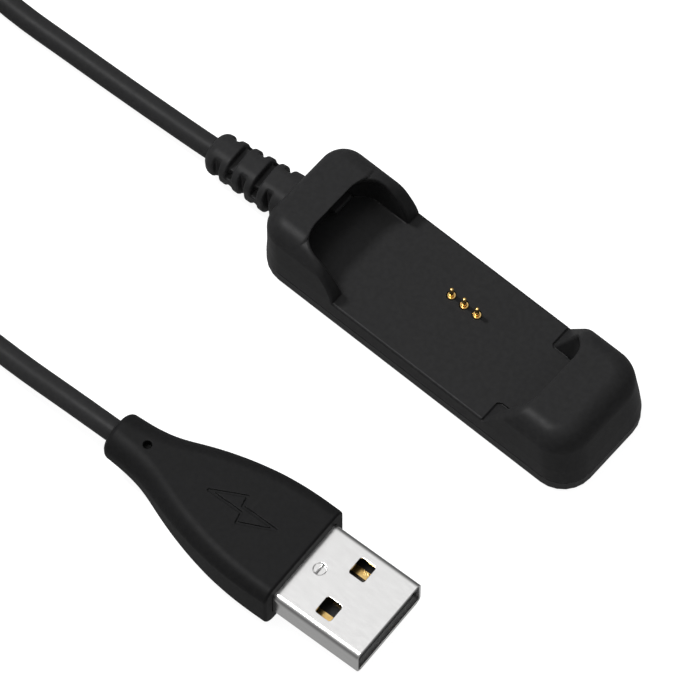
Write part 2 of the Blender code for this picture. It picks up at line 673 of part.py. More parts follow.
def make_plug_wires(looks):
    """Conductors from the cord's end to three of the contact tails."""
    tail_x = TONGUE_X[0] - 0.6 * MM - GAP
    middle_z = sum(CONTACT_Z) / 2
    wires = []
    for (name, look), start_y, end_y in zip(looks.items(), (1.0, 0.0, -1.0), (3.5, 1.0, -3.5)):
        route = [Vector(p) for p in (
            (REAR_CAVITY[0] + GAP, start_y * MM, 0.0), (-11.6 * MM, start_y * MM, 0.0),
            (-9.9 * MM, (start_y + end_y) / 2 * MM, middle_z), (-8.2 * MM, end_y * MM, middle_z),
            (tail_x, end_y * MM, middle_z))]
        wires.append(cord(f"plug_wire_{name}", smooth_points(route, 0.8 * MM),
                          2 * WIRE_RADIUS, look, 1))
    return wires


def make_plug(looks, wire_looks):
    """All the plug's pieces, parented to an empty at the plug's place."""
    frame = bpy.data.objects.new("plug_frame", None)
    bpy.context.collection.objects.link(frame)
    before = set(bpy.data.objects)
    make_plug_body(looks["grip"])
    make_shell(looks["nickel"])
    make_tongue(looks["insulator"])
    make_contacts(looks["gold"])
    make_inner_mould(looks["inner_mould"])
    make_plug_wires(wire_looks)
    for piece in set(bpy.data.objects) - before:
        piece.parent = frame
    frame.location = PLUG_PLACE
    frame.rotation_euler = (0, 0, PLUG_YAW)


# ---------------------------------------------------------------- whole object

def main():
    """Build every piece of the charging cable."""
    clear_scene()
    looks = {
        "housing": material("housing_black", (0.022, 0.022, 0.024), 0.42),
        "base": material("base_black", (0.020, 0.020, 0.022), 0.50),
        "board": material("board_green", (0.02, 0.10, 0.05), 0.45),
        "gold": material("contact_gold", (0.83, 0.58, 0.22), 0.25, 1.0),
        "steel": material("spring_steel", (0.55, 0.55, 0.57), 0.30, 1.0),
        "grip": material("grip_black", (0.018, 0.018, 0.019), 0.55),
        "jacket": material("jacket_black", (0.012, 0.012, 0.013), 0.38),
        "nickel": material("shell_nickel", (0.80, 0.80, 0.80), 0.18, 1.0),
        "insulator": material("insulator_black", (0.015, 0.015, 0.016), 0.50),
        "inner_mould": material("inner_mould_white", (0.70, 0.70, 0.68), 0.50),
        "tie": material("tie_black", (0.02, 0.02, 0.02), 0.45),
    }
    wire_looks = {
        "red": material("wire_red", (0.50, 0.02, 0.02), 0.45),
        "white": material("wire_white", (0.75, 0.75, 0.73), 0.45),
        "black": material("wire_black", (0.02, 0.02, 0.02), 0.45),
    }
    make_housing(looks["housing"])
    make_base(looks["base"])
    make_board(looks["board"])
    make_pins(looks["gold"], looks["steel"])
    make_cradle_wires(wire_looks)
    make_relief(looks["jacket"])
    make_cords(looks["jacket"])
    make_coil(looks["jacket"])
    make_tie(looks["tie"])
    make_plug(looks, wire_looks)


main()
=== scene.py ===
import json
from math import ceil, cos, pi, radians, sin, tan

import bpy
import numpy as np
from mathutils import Matrix, Vector


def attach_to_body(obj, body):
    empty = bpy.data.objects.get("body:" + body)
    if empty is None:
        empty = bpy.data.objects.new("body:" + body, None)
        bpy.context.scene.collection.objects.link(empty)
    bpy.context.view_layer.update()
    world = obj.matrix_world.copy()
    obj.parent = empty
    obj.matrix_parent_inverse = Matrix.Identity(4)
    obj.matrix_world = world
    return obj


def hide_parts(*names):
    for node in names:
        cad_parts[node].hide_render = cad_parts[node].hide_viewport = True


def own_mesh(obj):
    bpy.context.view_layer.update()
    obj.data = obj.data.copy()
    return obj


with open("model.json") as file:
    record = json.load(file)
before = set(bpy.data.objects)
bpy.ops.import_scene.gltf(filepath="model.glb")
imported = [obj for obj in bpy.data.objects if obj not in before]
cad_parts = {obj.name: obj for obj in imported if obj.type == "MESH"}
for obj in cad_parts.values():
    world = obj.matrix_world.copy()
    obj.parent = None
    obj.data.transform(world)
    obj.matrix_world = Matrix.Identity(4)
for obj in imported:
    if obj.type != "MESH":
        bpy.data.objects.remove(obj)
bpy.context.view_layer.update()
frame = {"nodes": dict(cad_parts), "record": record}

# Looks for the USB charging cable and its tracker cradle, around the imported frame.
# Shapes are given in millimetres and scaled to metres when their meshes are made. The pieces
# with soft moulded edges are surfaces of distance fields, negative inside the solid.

MM = 0.001

# Camera
VIEW_TARGET = Vector((-7.91, -9.48, 0.0)) * MM
VIEW_AZIMUTH = radians(40.7)
VIEW_ELEVATION = radians(64.0)
VIEW_DISTANCE = 0.8
LENS = 347.2
SENSOR = 36.0

# Surroundings: height of the direction, from -1 straight down to 1 straight up, and brightness
SKY = ((-1.0, 0.35), (-0.1, 0.15), (0.1, 0.12), (0.5, 0.22), (0.85, 0.68), (1.0, 0.78))
FLOOR_GLOW = 0.9
FLOOR_GREY = 0.3
FLOOR_LEVELS = ((5.0, 0.0), (5.3, 0.5))        # radius and height of the rim's edges, in metres
FLOOR_SIDES = 48
FLOOR_DROP = 0.02                              # from the object down to the floor, in millimetres

# Materials
NOISE_RANGE = (0.3, 0.7)                       # the part of a noise's range that is used

# Cradle, in millimetres
HALF_LENGTH = 24.5
HALF_WIDTH = 8.1
CORNER_RADIUS = 4.2
DECK_Z = 4.35
TOP_Z = 10.1
TOP_ROUND = 2.5
LEAN_FOOT_Z = 2.25                             # the end and near walls lean from here up
WALL_LEAN = 0.15
END_LEAN = 1.35
NEAR_LEAN = 0.6
ROOF_CORNER_CORD = 3.0
HOUSING_LOW_Z = 2.01
DECK_EDGE = 0.3
WING_EDGE = 0.25
WING_EDGE_GAIN = (0.5, 1.0)                    # what the roof adds to it: cord end, free end
SEAT_EDGE = 0.35
LOW_EDGE = 0.1
PIN_HOLE_EDGE = 0.05
WING_FULL_CORD = -17.7
WING_RUN = 5.6
WING_SHAPE = 1.55
RAMP_FOOT_X = 11.35
RAMP_ANGLE = radians(59.5)
SEAT_MIDDLE_X = -1.5
SEAT_HALF_LENGTH = 17.5
SEAT_HALF_WIDTH = 6.2
SEAT_CORNER = 3.6
SEAT_NARROWER_FREE = 1.0                       # at deck level
SEAT_SLOPE_TOP_Z = 7.8
# Seat outline: height, how much longer and how much wider than the roof opening
SEAT_LEVELS = np.array(((DECK_Z, 1.2, -0.2), (SEAT_SLOPE_TOP_Z, 1.2, 0.0), (8.9, 0.25, 0.0),
                        (9.3, 0.0, 0.05), (9.8, -0.2, 0.25), (10.3, -0.9, 0.8),
                        (12.1, -0.9, 0.8)))
FOOT_GROOVE = (0.28, 0.25, 0.05)               # width, depth and edge, along the free end's foot
SNAP_RIB = ((-20.6, 0.75, 5.6), (-18.95, 4.05, 6.25), 0.32)     # corners and edge
PIN_PLACES = ((-2.12, 2.2), (-0.15, 2.2), (1.82, 2.2))
PIN_HOLE_RADIUS = 0.6
# Rooms inside the cradle
CAVITY = (20.0, 6.4, 2.6, 3.25)                # half length, half width, corner and ceiling
WIRE_PASSAGE = ((-21.9, -1.7, 1.5), (-18.0, 1.7, 3.2))
NECK_ROOM = (2.1, -21.8)                       # radius and inner end
FLANGE_ROOM = ((-23.2, -2.9, 0.9), (-21.6, 2.9, 5.4))

# Strain relief
CORD_EXIT_Z = 3.1
RELIEF_START = Vector((-24.8, 0.0, CORD_EXIT_Z))
RELIEF_END = Vector((-36.9, -0.8, 2.55))
RELIEF_HALF = (3.0, 2.5)
RELIEF_CORNER = 2.1
RELIEF_CORE = 1.75
RELIEF_OVERLAP = 0.25                          # how far it reaches into the cradle's wall
RELIEF_EDGES = (0.15, 1.2)                     # at the cradle and at the cord
RELIEF_NECK = (1.8, -25.6, -22.1)              # radius and both ends
RELIEF_FLANGE = ((-22.9, -2.6, 1.2), (-21.9, 2.6, 5.1))
SLOT_HALF_WIDTH = 0.425
SLOT_EDGES = (0.2, 0.3)                        # at the core and at the outside
SLOT_MIDDLES = [2.2 + 1.95 * number for number in range(5)]
SLOT_BRIDGE = 0.6

# Cord
CORD_DIAMETER = 2.9
CRADLE_ROUTE = [(-24.9, 0.0, 3.1), (-30.9, -0.4, 2.82), (-37.2, -0.82, 2.55),
                (-42.0, -0.95, 2.15), (-50.0, -1.15, 1.65), (-59.0, -1.45, 1.5),
                (-68.0, -1.75, 1.6), (-77.6, -1.25, 1.8)]
PLUG_ROUTE = [(-77.6, -40.35, 10.5), (-68.0, -39.3, 7.2), (-59.0, -38.0, 3.0),
              (-51.0, -37.3, 1.6), (-43.0, -37.1, 1.7), (-35.0, -37.2, 2.45),
              (-27.0, -37.15, 3.55), (-20.6, -36.98, 4.0), (-18.0, -36.87, 4.0)]
CORD_STEP = 2.4
CURVE_STEPS = 20                               # steps between two points of a route
COIL_CENTRE = (-89.0, -20.8)
COIL_RADII = (19.63, 13.4)
COIL_ROWS = 4
COIL_CLIMB_FROM = 0.93                         # share of a row after which the cord climbs
COIL_TURNS_PER_ROW = 2.125
COIL_POINTS_PER_TURN = 32
COIL_LOWEST_Z = 2.45
COIL_TILT = radians(1.3)

# USB-A plug, in its own frame: +X towards the tip, X = 0 at the moulded body's front
PLUG_PLACE = Matrix.Translation((7.7, -35.7, 4.0)) @ Matrix.Rotation(radians(2.6), 4, "Z")
# Moulded body: distance behind its front, half width, half height
PLUG_BODY = np.array(((0.0, 7.35, 4.0), (3.2, 7.42, 4.0), (5.7, 7.35, 3.98), (8.7, 7.08, 3.92),
                      (12.2, 6.45, 3.78), (15.3, 5.68, 3.6), (18.1, 4.8, 3.38), (20.2, 4.0, 3.2),
                      (22.1, 3.45, 3.06), (24.5, 3.12, 2.96), (28.0, 2.93, 2.87)))
PLUG_BACK_X = -28.0
PLUG_CORNERS = (1.7, 2.6)
PLUG_CORNER_RUN = 24.5                         # length over which the corner grows
PLUG_CORNER_LIMIT = 0.92                       # share of the half width or half height
PLUG_EDGES = (0.35, 0.8)                       # at the front and at the cord
SHELL_ROOM = (6.04, 2.29, 0.69, -8.8)          # half width, half height, corner and back
WIRE_ROOM = ((-13.3, -5.2, -2.3), (-8.0, 5.2, 2.3))
HOLE_X = -23.3
HOLE_RADIUS = 0.53
HOLE_FLOOR_Z = 1.98
HOLE_EDGE = 0.12
# Engraved outline of a plain charging flash, along and across the body's top
MARK_OUTLINE = ((-4.4, 0.35), (-8.7, -1.75), (-9.0, -0.35), (-13.9, -0.35), (-9.7, 1.75),
                (-9.4, 0.35))
MARK_DEPTH = 0.18
MARK_HALF_WIDTH = 0.16
MARK_EDGES = (0.05, 0.06)                      # at the floor and at the top
SHELL_X = (-6.5, 12.45)
SHELL_HALF_WIDTH = 6.0
SHELL_HALF_HEIGHT = 2.25
SHELL_WALL = 0.3
SHELL_CORNER = 0.8
SHELL_EDGE = 0.1
WINDOW = (6.05, 3.13, 1.1, 1.225, 0.28)        # place, half size and corner
WINDOW_EDGE = 0.05
DIMPLE = (2.1, 0.2, 0.78, 0.2)                 # place, radius and depth
DIMPLE_BAR = 0.16
DIMPLE_EDGES = (0.1, 0.08)                     # at the floor and at the top
# Dovetailed seam under the shell: start, pitch, half height of a tab, steepness, half width and
# depth
SEAM = (3.0, 4.0, 0.6, 8.0, 0.04, 0.1)

# Faces keep their own flat shading past the crease, and past the slight bend where they are large
CREASE = radians(35)
SLIGHT_BEND = radians(4)
LARGE_FACE = 0.3                               # in square millimetres


# ---------------------------------------------------------------- camera and stage

def make_camera():
    """The camera at the viewing angle, looking at a point on the ground."""
    data = bpy.data.cameras.new("camera")
    data.lens = LENS
    data.sensor_width = SENSOR
    camera = bpy.data.objects.new("camera", data)
    bpy.context.collection.objects.link(camera)
    away = Vector((sin(VIEW_AZIMUTH) * cos(VIEW_ELEVATION),
                   -cos(VIEW_AZIMUTH) * cos(VIEW_ELEVATION), sin(VIEW_ELEVATION)))
    camera.location = VIEW_TARGET + VIEW_DISTANCE * away
    camera.rotation_euler = (-away).to_track_quat("-Z", "Y").to_euler()
    bpy.context.scene.camera = camera


def area_light(name, azimuth, elevation, distance, size, power, gloss=True, diffuse=True):
    """A square soft box that looks at the middle of the view."""
    data = bpy.data.lights.new(name, "AREA")
    data.size = size
    data.energy = power
    light = bpy.data.objects.new(name, data)
    bpy.context.collection.objects.link(light)
    a, e = radians(azimuth), radians(elevation)
    away = Vector((cos(a) * cos(e), sin(a) * cos(e), sin(e)))
    light.location = VIEW_TARGET + distance * away
    light.rotation_euler = (-away).to_track_quat("-Z", "Y").to_euler()
    light.visible_glossy = gloss
    light.visible_diffuse = diffuse


def make_world():
    """Soft surroundings: brightest overhead and darkest at the horizon."""
    world = bpy.data.worlds.new("studio")
    bpy.context.scene.world = world
    world.use_nodes = True
    nodes, join = world.node_tree.nodes, world.node_tree.links.new
    direction = nodes.new("ShaderNodeTexCoord")
    parts = nodes.new("ShaderNodeSeparateXYZ")
    height = nodes.new("ShaderNodeMapRange")
    height.inputs["From Min"].default_value = -1.0
    ramp = nodes.new("ShaderNodeValToRGB")
    while len(ramp.color_ramp.elements) < len(SKY):
        ramp.color_ramp.elements.new(0.5)
    for element, (level, brightness) in zip(ramp.color_ramp.elements, SKY):
        element.position = (level + 1) / 2
        element.color = (brightness, brightness, brightness, 1.0)
    join(direction.outputs["Generated"], parts.inputs["Vector"])
    join(parts.outputs["Z"], height.inputs["Value"])
    join(height.outputs["Result"], ramp.inputs["Fac"])
    join(ramp.outputs["Color"], nodes["Background"].inputs["Color"])


def make_floor():
    """A white floor with a low rim far away, which stays out of the gloss of the pieces on it."""
    mesh = bpy.data.meshes.new("floor")
    sides = FLOOR_SIDES
    corners = [(radius * cos(2 * pi * side / sides), radius * sin(2 * pi * side / sides), height)
               for radius, height in FLOOR_LEVELS for side in range(sides)]
    rim = [(a, (a + 1) % sides, sides + (a + 1) % sides, sides + a) for a in range(sides)]
    mesh.from_pydata(corners, [], [tuple(range(sides)), *rim])
    floor = bpy.data.objects.new("floor", mesh)
    bpy.context.collection.objects.link(floor)
    floor.location.z = -FLOOR_DROP * MM
    floor.visible_glossy = False
    look = bpy.data.materials.new("floor_white")
    look.use_nodes = True
    shader = look.node_tree.nodes["Principled BSDF"]
    shader.inputs["Base Color"].default_value = (FLOOR_GREY, FLOOR_GREY, FLOOR_GREY, 1.0)
    shader.inputs["Roughness"].default_value = 0.9
    shader.inputs["Emission Color"].default_value = (1.0, 1.0, 1.0, 1.0)
    shader.inputs["Emission Strength"].default_value = FLOOR_GLOW
    mesh.materials.append(look)


def make_stage():
    """Floor, surroundings and soft boxes."""
    bpy.context.scene.view_settings.view_transform = "Standard"
    make_world()
    make_floor()
    area_light("key", azimuth=182, elevation=48, distance=1.2, size=0.16, power=15.5, gloss=False)
    area_light("edge_gloss", azimuth=-145, elevation=68, distance=1.2, size=0.45, power=11.0,
               diffuse=False)


# ---------------------------------------------------------------- materials

class Look:
    """A Principled material and short ways to add texture to it."""

    def __init__(self, name, metallic=0.0, stretch=(1.0, 1.0, 1.0), turn=0.0):
        self.material = bpy.data.materials.new(name)
        self.material.use_nodes = True
        self.tree = self.material.node_tree
        self.shader = self.tree.nodes["Principled BSDF"]
        self.shader.inputs["Metallic"].default_value = metallic
        coordinates = self.tree.nodes.new("ShaderNodeTexCoord")
        mapping = self.tree.nodes.new("ShaderNodeMapping")
        mapping.inputs["Scale"].default_value = stretch
        mapping.inputs["Rotation"].default_value = (0.0, 0.0, turn)
        self.join(coordinates.outputs["Object"], mapping.inputs["Vector"])
        self.place = mapping.outputs["Vector"]

    def join(self, source, target):
        self.tree.links.new(source, target)

    def noise(self, size_mm, detail=2.0):
        """Noise whose features are about that many millimetres across."""
        node = self.tree.nodes.new("ShaderNodeTexNoise")
        node.inputs["Scale"].default_value = 1.0 / (size_mm * MM)
        node.inputs["Detail"].default_value = detail
        self.join(self.place, node.inputs["Vector"])
        return node.outputs["Fac"]

    def colours(self, factor, first, second):
        """Base colour that runs from one colour to another."""
        ramp = self.tree.nodes.new("ShaderNodeValToRGB")
        for element, level, colour in zip(ramp.color_ramp.elements, NOISE_RANGE, (first, second)):
            element.position = level
            element.color = (*colour, 1.0)
        self.join(factor, ramp.inputs["Fac"])
        self.join(ramp.outputs["Color"], self.shader.inputs["Base Color"])

    def roughness(self, factor, low, high):
        """Roughness between two values."""
        spread = self.tree.nodes.new("ShaderNodeMapRange")
        spread.inputs["From Min"].default_value = NOISE_RANGE[0]
        spread.inputs["From Max"].default_value = NOISE_RANGE[1]
        spread.inputs["To Min"].default_value = low
        spread.inputs["To Max"].default_value = high
        self.join(factor, spread.inputs["Value"])
        self.join(spread.outputs["Result"], self.shader.inputs["Roughness"])

    def bump(self, factor, height_mm):
        """Relief of that height."""
        node = self.tree.nodes.new("ShaderNodeBump")
        node.inputs["Distance"].default_value = height_mm * MM
        self.join(factor, node.inputs["Height"])
        self.join(node.outputs["Normal"], self.shader.inputs["Normal"])


def moulded(name, dark, light, rough, grain_mm, grain_height, specular=0.5):
    """Moulded plastic or elastomer: fine grain, soft unevenness and slight mottling."""
    look = Look(name)
    look.shader.inputs["Specular IOR Level"].default_value = specular
    look.colours(look.noise(0.6, detail=3.0), dark, light)
    look.roughness(look.noise(0.9, detail=4.0), rough - 0.02, rough + 0.03)
    look.bump(look.noise(grain_mm), grain_height)
    return look.material


def plated(name, dark, light, rough, streak, turn=0.0):
    """Plated metal with fine streaks along one direction."""
    look = Look(name, metallic=1.0, stretch=streak, turn=turn)
    look.colours(look.noise(0.5, detail=3.0), dark, light)
    look.roughness(look.noise(0.35, detail=4.0), rough, rough + 0.05)
    look.bump(look.noise(0.15), 0.0004)
    return look.material


def make_looks():
    """Every material by the record's slot."""
    return {
        "housing_black": moulded("housing_black", (0.0145, 0.0145, 0.0149),
                                 (0.0180, 0.0180, 0.0184), 0.42, 0.16, 0.002, 0.09),
        "base_black": moulded("base_black", (0.0135, 0.0135, 0.0139), (0.0165, 0.0165, 0.0169),
                              0.44, 0.18, 0.003, 0.12),
        "grip_black": moulded("grip_black", (0.0080, 0.0080, 0.0083), (0.0100, 0.0100, 0.0103),
                              0.50, 0.14, 0.002, 0.08),
        "jacket_black": moulded("jacket_black", (0.0175, 0.0175, 0.0180), (0.0210, 0.0210, 0.0215),
                                0.44, 0.20, 0.0015, 0.09),
        "tie_black": moulded("tie_black", (0.010, 0.010, 0.010), (0.022, 0.022, 0.023),
                             0.70, 0.25, 0.03, 0.3),
        "insulator_black": moulded("insulator_black", (0.0070, 0.0070, 0.0074),
                                   (0.010, 0.010, 0.0105), 0.45, 0.12, 0.003, 0.3),
        "inner_mould_white": moulded("inner_mould_white", (0.62, 0.62, 0.59), (0.74, 0.74, 0.72),
                                     0.50, 0.20, 0.004),
        "board_green": moulded("board_green", (0.012, 0.075, 0.035), (0.022, 0.11, 0.055),
                               0.38, 0.30, 0.006),
        "wire_red": moulded("wire_red", (0.40, 0.012, 0.012), (0.52, 0.022, 0.02), 0.42, 0.2,
                            0.002),
        "wire_white": moulded("wire_white", (0.68, 0.68, 0.66), (0.78, 0.78, 0.76), 0.42, 0.2,
                              0.002),
        "wire_black": moulded("wire_black", (0.010, 0.010, 0.010), (0.016, 0.016, 0.016), 0.42,
                              0.2, 0.002),
        "contact_gold": plated("contact_gold", (0.80, 0.51, 0.17), (0.93, 0.66, 0.27), 0.18,
                               (1.0, 1.0, 1.0)),
        "spring_steel": plated("spring_steel", (0.50, 0.50, 0.52), (0.62, 0.62, 0.64), 0.25,
                               (1.0, 1.0, 0.3)),
        "shell_nickel": plated("shell_nickel", (0.90, 0.895, 0.89), (0.93, 0.925, 0.92), 0.20,
                               (0.25, 1.0, 1.0), turn=radians(-2.6)),
    }


# ---------------------------------------------------------------- surfaces from distance fields

def rounded_box(x, y, half_x, half_y, radius):
    """Distance to a rounded rectangle around the origin."""
    dx = np.abs(x) - (half_x - radius)
    dy = np.abs(y) - (half_y - radius)
    return (np.hypot(np.maximum(dx, 0), np.maximum(dy, 0))
            + np.minimum(np.maximum(dx, dy), 0) - radius)


def both(a, b, radius):
    """Where both fields are negative, with that radius along the edge they make."""
    return (np.minimum(-radius, np.maximum(a, b))
            + np.hypot(np.maximum(a + radius, 0), np.maximum(b + radius, 0)))


def block(x, y, z, low, high, radius=0.0):
    """An upright block between two corners."""
    middle = [(a + b) / 2 for a, b in zip(low, high)]
    half = [(b - a) / 2 for a, b in zip(low, high)]
    plan = rounded_box(x - middle[0], y - middle[1], half[0], half[1], radius)
    return both(plan, np.abs(z - middle[2]) - half[2], max(radius, 1e-6))


def surface_nets(field, low, high, cell):
    """Points and quads of a field's surface, one point in each grid cell that it crosses."""
    axes = [a + cell * np.arange(ceil((b - a) / cell) + 1) for a, b in zip(low, high)]
    grid = np.meshgrid(*axes, indexing="ij", sparse=True)
    values = np.ascontiguousarray(np.broadcast_to(field(*grid), [len(a) for a in axes]))
    inside = values < 0
    corners = [np.array((i, j, k)) for i in (0, 1) for j in (0, 1) for k in (0, 1)]
    shape = [n - 1 for n in values.shape]
    count = np.zeros(shape, np.int8)
    for i, j, k in corners:
        count += inside[i:i + shape[0], j:j + shape[1], k:k + shape[2]]
    cells = np.argwhere((count > 0) & (count < 8))
    number = np.full(shape, -1, np.int32)
    number[tuple(cells.T)] = np.arange(len(cells))
    total = np.zeros((len(cells), 3))
    hits = np.zeros(len(cells))
    for a in corners:
        for b in corners:
            if (b - a).sum() == 1 and np.abs(b - a).sum() == 1:
                start = values[tuple((cells + a).T)]
                end = values[tuple((cells + b).T)]
                crosses = (start < 0) != (end < 0)
                share = np.where(crosses, start / np.where(crosses, start - end, 1), 0)
                total += crosses[:, None] * (a + share[:, None] * (b - a))
                hits += crosses
    points = np.array(low) + cell * (cells + total / hits[:, None])
    quads = []
    for axis in range(3):
        step = np.eye(3, dtype=int)
        ahead = np.take(inside, range(1, inside.shape[axis]), axis)
        behind = np.take(inside, range(inside.shape[axis] - 1), axis)
        edges = np.argwhere(ahead != behind)
        second, third = (axis + 1) % 3, (axis + 2) % 3
        b, c = step[second], step[third]
        edges = edges[((edges @ b) > 0) & ((edges @ c) > 0)]
        edges = edges[((edges @ b) < shape[second]) & ((edges @ c) < shape[third])]
        loop = [number[tuple((edges + shift).T)] for shift in (-b - c, -c, 0 * b, -b)]
        outward = behind[tuple(edges.T)]
        ordered = np.stack(loop, axis=1)
        quads.append(np.where(outward[:, None], ordered, ordered[:, ::-1]))
    return points, np.concatenate(quads)


def gradient(field, points, reach=0.02):
    """The field's slope at each point."""
    slope = np.zeros(points.shape)
    for axis in range(3):
        shift = np.zeros(3)
        shift[axis] = reach
        slope[:, axis] = (field(*(points + shift).T) - field(*(points - shift).T)) / (2 * reach)
    return slope


def settle(field, points, cell, rounds=3):
    """Move points onto the field's surface."""
    for _ in range(rounds):
        slope = gradient(field, points)
        size = np.maximum((slope ** 2).sum(1), 1e-6)
        move = np.clip(field(*points.T) / size, -cell, cell)
        points = points - move[:, None] * slope
    return points


def shade(mesh, normals):
    """Shade faces from the surface's normals; creases and the large flat faces keep their own."""
    mesh.shade_smooth()
    corners = np.empty(len(mesh.loops), np.int32)
    mesh.loops.foreach_get("vertex_index", corners)
    flat = np.empty(3 * len(mesh.polygons), np.float32)
    mesh.polygons.foreach_get("normal", flat)
    area = np.empty(len(mesh.polygons), np.float32)
    mesh.polygons.foreach_get("area", area)
    counts = np.empty(len(mesh.polygons), np.int32)
    mesh.polygons.foreach_get("loop_total", counts)
    face = np.repeat(np.arange(len(counts)), counts)
    flat = flat.reshape(-1, 3)[face]
    shown = normals[corners]
    agree = (shown * flat).sum(1)
    keep = (agree < cos(CREASE)) | ((agree < cos(SLIGHT_BEND)) & (area[face] > LARGE_FACE))
    shown[keep] = flat[keep]
    mesh.normals_split_custom_set(shown.tolist())


def field_piece(name, field, low, high, cell, keep, look, place=Matrix.Identity(4)):
    """A smooth mesh of a field's surface in the box from low to high, thinned and set in place."""
    points, quads = surface_nets(field, low, high, cell)
    points = settle(field, points, cell)
    dense = bpy.data.meshes.new(name)
    dense.from_pydata(points.tolist(), [], quads.tolist())
    made = bpy.data.objects.new(name, dense)
    bpy.context.collection.objects.link(made)
    thin = made.modifiers.new("thin", "DECIMATE")
    thin.ratio = keep
    shown = made.evaluated_get(bpy.context.evaluated_depsgraph_get())
    mesh = bpy.data.meshes.new_from_object(shown)
    made.modifiers.clear()
    made.data = mesh
    bpy.data.meshes.remove(dense)
    points = np.empty(len(mesh.vertices) * 3, np.float32)
    mesh.vertices.foreach_get("co", points)
    points = settle(field, points.reshape(-1, 3).astype(float), cell / 2, 1)
    normals = gradient(field, points)
    normals /= np.maximum(np.linalg.norm(normals, axis=1), 1e-9)[:, None]
    mesh.vertices.foreach_set("co", points.astype(np.float32).ravel())
    shade(mesh, normals)
    mesh.transform(Matrix.Scale(MM, 4) @ place)
    mesh.materials.append(look)
    return made


# ---------------------------------------------------------------- cradle

def curved_wing(x, z):
    """Side profile of the cord end's cup, whose wing curves down to the deck."""
    beyond = x - WING_FULL_CORD
    along = np.maximum(beyond, 0) / WING_RUN
    up = np.maximum(z - DECK_Z, 0) / (TOP_Z - DECK_Z)
    curve = (along ** WING_SHAPE + up ** WING_SHAPE) ** (1 / WING_SHAPE) - 1
    return np.minimum(curve * WING_RUN, beyond)


def ramped_wing(x, z):
    """Side profile of the free end's cup, whose wing is a straight ramp."""
    return (z - DECK_Z) * cos(RAMP_ANGLE) - (x - RAMP_FOOT_X) * sin(RAMP_ANGLE)


def above_deck(z):
    """Height above the deck as a share of the cups' height."""
    return np.clip((z - DECK_Z) / (TOP_Z - DECK_Z), 0, 1)


def cradle_walls(x, y, z):
    """Distance to the upper shell's leaning walls."""
    share = np.clip((z - LEAN_FOOT_Z) / (TOP_Z - LEAN_FOOT_Z), 0, 1)
    rise = above_deck(z)
    lean = WALL_LEAN * rise
    end, near = END_LEAN * share / 2, NEAR_LEAN * share / 2
    corner = CORNER_RADIUS + (ROOF_CORNER_CORD - CORNER_RADIUS) * rise * (x < 0)
    return rounded_box(x + end, y - near, HALF_LENGTH - lean - end, HALF_WIDTH - lean - near,
                       corner)


def housing_field(x, y, z):
    """Upper shell of the cradle, hollow inside."""
    walls = cradle_walls(x, y, z)
    slab = both(walls, z - DECK_Z, DECK_EDGE)
    outside = both(walls, z - TOP_Z, TOP_ROUND)
    rise = above_deck(z)
    cups = np.minimum(both(outside, curved_wing(x, z), WING_EDGE + WING_EDGE_GAIN[0] * rise),
                      both(outside, ramped_wing(x, z), WING_EDGE + WING_EDGE_GAIN[1] * rise))
    longer = np.interp(z, SEAT_LEVELS[:, 0], SEAT_LEVELS[:, 1])
    wider = np.interp(z, SEAT_LEVELS[:, 0], SEAT_LEVELS[:, 2])
    slope = np.clip((SEAT_SLOPE_TOP_Z - z) / (SEAT_SLOPE_TOP_Z - DECK_Z), 0, 1)
    narrower = SEAT_NARROWER_FREE * slope * (x > 0)
    seat = rounded_box(x - SEAT_MIDDLE_X, y, SEAT_HALF_LENGTH + longer,
                       SEAT_HALF_WIDTH + wider - narrower, SEAT_CORNER)
    cups = both(cups, -seat, SEAT_EDGE)
    width, depth, edge = FOOT_GROOVE
    groove = np.where(x > 0, both(cups - width, DECK_Z - depth - z, edge), 1.0)
    slab = both(slab, -groove, edge)
    rib = block(x, y, z, *SNAP_RIB)
    solid = np.minimum(np.minimum(slab, cups), np.maximum(rib, outside))
    solid = both(solid, HOUSING_LOW_Z - z, LOW_EDGE)
    for pin_x, pin_y in PIN_PLACES:
        hole = np.hypot(x - pin_x, y - pin_y) - PIN_HOLE_RADIUS
        solid = both(solid, -hole, PIN_HOLE_EDGE)
    cavity = np.maximum(rounded_box(x, y, *CAVITY[:3]), z - CAVITY[3])
    passage = block(x, y, z, *WIRE_PASSAGE)
    neck = np.maximum(np.hypot(y, z - CORD_EXIT_Z) - NECK_ROOM[0], x - NECK_ROOM[1])
    flange = block(x, y, z, *FLANGE_ROOM)
    rooms = np.minimum(np.minimum(cavity, passage), np.minimum(neck, flange))
    return np.maximum(solid, -rooms)


def relief_axes():
    """Directions along, across and up the strain relief."""
    along = (RELIEF_END - RELIEF_START).normalized()
    across = Vector((0, 0, 1)).cross(along).normalized()
    return along, across, along.cross(across)


